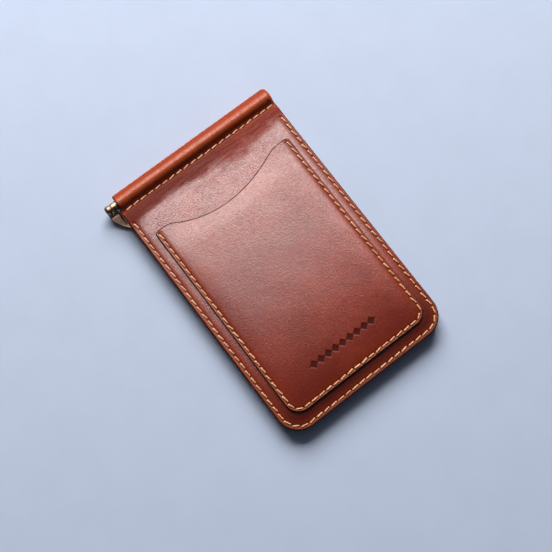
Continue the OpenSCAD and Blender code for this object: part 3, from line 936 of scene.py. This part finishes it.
def ornament_depth(x, y):
    """A short row of blind-stamped lozenges, as a share of full depth."""
    u, w = on_ornament(x, y)
    along = np.abs((u + ORNAMENT_PITCH / 2) % ORNAMENT_PITCH - ORNAMENT_PITCH / 2)
    lozenge = 1 - along / (0.56 * ORNAMENT_PITCH) - np.abs(w) / (1.85 * MM)
    return smoothstep(lozenge, 0.0, 0.25) * (np.abs(u) < 4.6 * ORNAMENT_PITCH)


def front_pocket(materials):
    def fine(x, y):
        u, w = on_ornament(x, y)
        return (np.abs(w) < 2 * MM) & (np.abs(u) < 4.8 * ORNAMENT_PITCH)

    outline = pocket_outline(POCKET_LOW, POCKET_HIGH, FINE_STEP)
    height = pocket_height(POCKET_HIGH.z, POCKET_LOW, POCKET_HIGH, FRONT_SEAM, FRONT_CROWN, FRONT_DROP,
                           True)
    made = sheet(outline, height, flat_height(POCKET_LOW.z + 0.02 * MM), True, fine,
                 fine_spacing=0.26 * MM)
    return build("front_pocket_leather", [made], materials, lip_end=0.95, lip_share=0.72)


def back_pocket(materials):
    outline = pocket_outline(BACK_LOW, BACK_HIGH, FINE_STEP)
    height = pocket_height(BACK_Z, BACK_LOW, BACK_HIGH, BACK_SEAM, BACK_CROWN, 0.0, False)
    made = sheet(outline, height, flat_height(BACK_HIGH.z - SKIN_GAP), False)
    return build("back_pocket_leather", [made], materials)


def back_panel(materials):
    near = PANEL_HIGH.y
    outline = leaf_outline(near, FINE_STEP)

    def shown(x, y, rim):
        sides = np.where(near - y < 3 * MM, np.minimum(x - LEFT, RIGHT - x), rim)
        active = smoothstep(near - y, 0.6 * MM, 1.4 * MM)
        groove, pits, pulled = seam_dent(x, y, sides, EDGE_INSET, active, EDGE, False)
        return PANEL_LOW.z + round_edge(rim, 0.45 * MM) + groove, pits, pulled

    made = sheet(outline, shown, flat_height(PANEL_HIGH.z - SKIN_GAP), False)
    return build("back_panel_leather", [made], materials)


def lining(materials):
    near = PANEL_HIGH.y
    outline = leaf_outline(near, 0.8 * MM)
    low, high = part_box("inner_lining")

    def shown(x, y, rim):
        return high.z - round_edge(rim, 0.15 * MM), np.zeros(len(x)), np.zeros(len(x))

    made = sheet(outline, shown, flat_height(low.z + SKIN_GAP), True)
    return build("lining_leather", [made], materials)


# ---- thread ----

def thread_row(seam, heights, up):
    """One side of a seam: two-ply thread that rises from one hole and dives into the next."""
    along, around = 18, 12
    sign = 1 if up else -1
    heights = np.broadcast_to(heights, len(seam["x"]))
    verts, faces, depth = [], [], []
    for n in range(len(seam["x"])):
        half = seam["run"] * (0.425 + 0.022 * rng.standard_normal())
        heading = seam["heading"][n] + sign * STITCH_SLANT + math.radians(3.2) * rng.standard_normal()
        thick = THREAD_R * (0.97 + 0.09 * rng.standard_normal())
        lift = 0.03 * MM * rng.standard_normal()
        twist = rng.uniform(0, 2 * math.pi)
        side = 0.05 * MM * rng.standard_normal()
        lean = -1 if math.sin(seam["heading"][n]) > 0.4 else 1
        dx, dy = math.cos(heading), math.sin(heading)
        first = len(verts)
        for i in range(along + 1):
            t = 2 * i / along - 1
            s = half * math.sin(t * math.pi / 2)
            dive = abs(t) ** 5
            rise = (0.06 * MM + lift) * (1 - t * t) * (1 - 0.7 * lean * t) - 0.6 * MM * dive
            for k in range(around):
                a = 2 * math.pi * k / around
                ply = 1 + 0.13 * math.cos(2 * (a - twist - 5.2 * t))
                r = thick * ply * (1 - 0.2 * lean * t) * (1 - 0.2 * dive)
                across, out = r * 1.12 * math.cos(a), r * 0.8 * math.sin(a)
                verts.append((seam["x"][n] + dx * s - dy * (across + side),
                              seam["y"][n] + dy * s + dx * (across + side),
                              heights[n] + sign * (rise + out)))
                depth.append(dive)
        faces += tube_faces(first, along + 1, around)
    if up:
        faces = [f[::-1] for f in faces]
    verts = np.array(verts)
    return verts, faces, [0] * len(faces), np.zeros(len(verts)), np.c_[depth, depth]


# ---- the clip arm ----

def clip_arm_plate(material):
    """The arm in its CAD shape, cut finer at its root and then eased there, with its edges broken.

    The knuckle gets two rounded lobes, and the shoulder beside it slopes down from it.
    """
    piece = new_object("clip_arm_plate", frame["nodes"]["clip_arm"].data.copy())
    piece.data.materials.clear()
    piece.data.materials.append(material)
    low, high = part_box("clip_arm")
    mouth, sharp = LEFT - 0.25 * MM, 32
    shape = bmesh.new()
    shape.from_mesh(piece.data)
    bmesh.ops.remove_doubles(shape, verts=shape.verts, dist=0.002 * MM)
    cuts = [((x, 0, 0), (1, 0, 0)) for x in np.arange(low.x + 0.12 * MM, mouth + 1.2 * MM, 0.3 * MM)]
    cuts += [((0, y, 0), (0, 1, 0)) for y in np.arange(low.y + 0.6 * MM, AXIS_Y - 1.7 * MM, 0.5 * MM)]
    for point, normal in cuts:
        everything = shape.verts[:] + shape.edges[:] + shape.faces[:]
        bmesh.ops.bisect_plane(shape, geom=everything, plane_co=point, plane_no=normal)
    verts = np.array([v.co for v in shape.verts])
    t = verts[:, 0] - low.x
    y, z = verts[:, 1] - AXIS_Y, verts[:, 2] - AXIS_Z

    def swell(middle, width):
        return np.exp(-(((t - middle * MM) / (width * MM)) ** 2))

    lobes = 1 + 0.14 * swell(1.15, 0.6) + 0.04 * swell(3, 0.6) - 0.07 * swell(2.05, 0.3)
    lobes -= 0.22 * np.clip(1 - t / (0.55 * MM), 0, 1) ** 2
    on_knuckle = (np.hypot(y, z) < 1.72 * MM) & (np.hypot(y, z) > 1.2 * MM) & (verts[:, 0] < mouth)
    verts[on_knuckle, 1:] = np.array([AXIS_Y, AXIS_Z]) + np.c_[y, z][on_knuckle] * lobes[on_knuckle, None]
    outside = 1 - smoothstep(verts[:, 0], mouth - 0.4 * MM, mouth + 0.1 * MM)
    climb = 1.05 * MM * smoothstep(verts[:, 1], low.y + 3 * MM, AXIS_Y - 1.2 * MM)
    top = (verts[:, 2] > low.z + 0.5 * MM) & (verts[:, 2] < low.z + 1.1 * MM)
    verts[:, 2] += top * outside * climb
    for vertex, moved in zip(shape.verts, verts):
        vertex.co = moved
    bmesh.ops.dissolve_degenerate(shape, edges=shape.edges, dist=0.001 * MM)
    shape.to_mesh(piece.data)
    shape.free()
    bevel = piece.modifiers.new("bevel", "BEVEL")
    bevel.width = 0.12 * MM
    bevel.segments = 3
    bevel.limit_method = "ANGLE"
    bevel.angle_limit = math.radians(sharp)
    smooth(piece.data, sharp)
    return piece


# ---- stage ----

# The camera's place about its aim, and how the picture frames it
AIM = Vector((-2.19, -4.5, 3.0)) * MM
CAMERA_AZIMUTH, CAMERA_ELEVATION = 224.81, 79.16
CAMERA_DISTANCE, CAMERA_ROLL, CAMERA_LENS = 363 * MM, math.radians(7.5), 63.95

FLOOR_COLOUR, FLOOR_REACH = srgb(195, 207, 231), 1.6


def toward(azimuth, elevation):
    """A direction in degrees, the azimuth from +Y towards +X."""
    az, el = math.radians(azimuth), math.radians(elevation)
    return Vector((math.sin(az) * math.cos(el), math.cos(az) * math.cos(el), math.sin(el)))


def camera():
    data = bpy.data.cameras.new("camera")
    data.lens, data.sensor_width = CAMERA_LENS, 36
    data.clip_start, data.clip_end = 0.01, 20
    made = new_object("camera", data)
    back = toward(CAMERA_AZIMUTH, CAMERA_ELEVATION)
    made.location = AIM + back * CAMERA_DISTANCE
    made.rotation_mode = "QUATERNION"
    made.rotation_quaternion = Quaternion(back, CAMERA_ROLL) @ (-back).to_track_quat("-Z", "Y")
    bpy.context.scene.camera = made


def floor():
    """A wide sheet of pale paper that the object lies on."""
    mesh = bpy.data.meshes.new("floor")
    corners = [(x * FLOOR_REACH, y * FLOOR_REACH, 0) for x, y in ((-1, -1), (1, -1), (1, 1), (-1, 1))]
    mesh.from_pydata(corners, [], [(0, 1, 2, 3)])
    s = Shader("floor_paper")
    mottle = s.remap(s.noise(55, 4, 0.6), 0.3, 0.7)
    s.wire("Base Color", s.mix(mottle, tuple(c * 0.97 for c in FLOOR_COLOUR), FLOOR_COLOUR))
    s.set(Roughness=0.9)
    mesh.materials.append(s.material)
    new_object("floor", mesh)


def studio_light(name, azimuth, elevation, distance, size, radiance, colour):
    """A rectangular light that faces the origin, as bright as its radiance at any size."""
    data = bpy.data.lights.new(name, "AREA")
    data.shape = "RECTANGLE"
    data.size, data.size_y = size
    data.energy = radiance * math.pi * size[0] * size[1]
    data.color = colour
    made = new_object(name, data)
    made.location = toward(azimuth, elevation) * distance
    made.rotation_mode = "QUATERNION"
    made.rotation_quaternion = (-made.location).to_track_quat("-Z", "Y")
    return made


def lights():
    """A wide window beyond the spine, a high card that only shows as gloss, and a dim pale room."""
    studio_light("window", 26, 31.5, 1.15, (1.02, 0.6), 13.9, (1.0, 0.985, 0.96))
    card = studio_light("gloss_card", 26, 61, 1.0, (0.9, 0.5), 8.6, (1.0, 0.99, 0.98))
    card.visible_diffuse = False
    world = bpy.data.worlds.new("room")
    world.use_nodes = True
    background = world.node_tree.nodes["Background"]
    background.inputs["Color"].default_value = (0.62, 0.76, 1.0, 1.0)
    background.inputs["Strength"].default_value = 0.062
    bpy.context.scene.world = world


# ---- assembly ----

EDGE = u_seam(LEFT, RIGHT, FAR, from_spine(EDGE_SEAM_TOP), LEAF_CORNER_R, EDGE_INSET)
SPINE_ROW = spine_seam()
FRONT_SEAM = pocket_seam(POCKET_LOW, POCKET_HIGH)
BACK_SEAM = pocket_seam(BACK_LOW, BACK_HIGH)

camera()
floor()
lights()
bpy.context.scene.view_settings.view_transform = "Standard"

burnished = cut_edge()
flesh = flesh_side()
shell_skin = grain_leather("shell_grain", LEATHER, LEATHER_DEEP, BURNISH, 0.95, spine=spine_looks)
panel_skin = grain_leather("panel_grain", LEATHER, LEATHER_DEEP, BURNISH, 0.95)
# The pocket's rim colour is near black: its burnished edge, darkened further as painted shadow of the thin
# gap along it
pocket_skin = grain_leather("pocket_grain", LEATHER, LEATHER_DEEP, srgb(34, 12, 10), 0.6, (0.24, 0.5),
                            scoop_y=POCKET_HIGH.y)
lining_skin = grain_leather("lining_grain", srgb(110, 48, 32), srgb(84, 32, 22), BURNISH, 0.5)
thread = thread_material()
nickel = plated_metal("warm_nickel", srgb(140, 114, 97), srgb(120, 95, 80), 0.24, 0.38, BRUSHED)
rod_metal = plated_metal("rod_nickel", srgb(205, 198, 186), srgb(160, 150, 138), 0.18, 0.3)
# Painted shade: the barrel's steel is darker than plain steel, as the shade in the sleeve's mouth where it
# shows
barrel_shaded_steel = plated_metal("barrel_steel", srgb(116, 110, 102), srgb(84, 78, 72), 0.3, 0.45)
brass = plated_metal("turned_brass", srgb(212, 176, 104), srgb(150, 112, 58), 0.22, 0.38)
wire = plated_metal("spring_wire", srgb(150, 152, 158), srgb(96, 96, 100), 0.25, 0.4)

place(outer_shell([shell_skin, burnished, flesh]), "wallet", "outer_shell")
place(front_pocket([pocket_skin, burnished, flesh]), "wallet", "front_pocket")
place(back_pocket([pocket_skin, burnished, flesh]), "wallet", "back_pocket")
place(back_panel([panel_skin, burnished, flesh]), "wallet", "back_panel")
place(lining([lining_skin, burnished, flesh]), "wallet", "inner_lining")

# The thread's height on each side of each seam
edge_ground = leaf_ground(EDGE["x"], EDGE["y"], np.full(len(EDGE["x"]), EDGE_INSET))
front_ground = pocket_ground(FRONT_SEAM["x"], FRONT_SEAM["y"], POCKET_LOW, POCKET_HIGH, FRONT_CROWN,
                             FRONT_DROP)[0]
back_ground = pocket_ground(BACK_SEAM["x"], BACK_SEAM["y"], BACK_LOW, BACK_HIGH, BACK_CROWN, 0.0)[0]
back_heights = np.maximum(BACK_Z - back_ground + 2 * THREAD_SINK, BACK_THREAD_Z)
for name, sides in (
    ("spine", [(SPINE_ROW, FRONT_Z - THREAD_SINK, True), (SPINE_ROW, FLAP_Z + THREAD_SINK, False)]),
    ("edge", [(EDGE, edge_ground - THREAD_SINK, True), (EDGE, PANEL_LOW.z + THREAD_SINK, False)]),
    ("front_pocket", [(FRONT_SEAM, POCKET_HIGH.z + front_ground - THREAD_SINK, True)]),
    ("back_pocket", [(BACK_SEAM, back_heights, False)]),
):
    piece = build(name + "_stitches", [thread_row(*side) for side in sides], [thread], sharp=80)
    place(piece, "wallet", name + "_thread")

place(clip_arm_plate(nickel), "clip", "clip_arm")
for node, material in (("pivot_rod", rod_metal), ("rod_collar", rod_metal), ("cross_pin", rod_metal),
                       ("spine_barrel", barrel_shaded_steel), ("thrust_washer", brass), ("left_bush", brass),
                       ("right_bush", brass), ("end_plug", brass), ("torsion_spring", wire)):
    mesh = frame["nodes"][node].data
    mesh.materials.clear()
    mesh.materials.append(material)
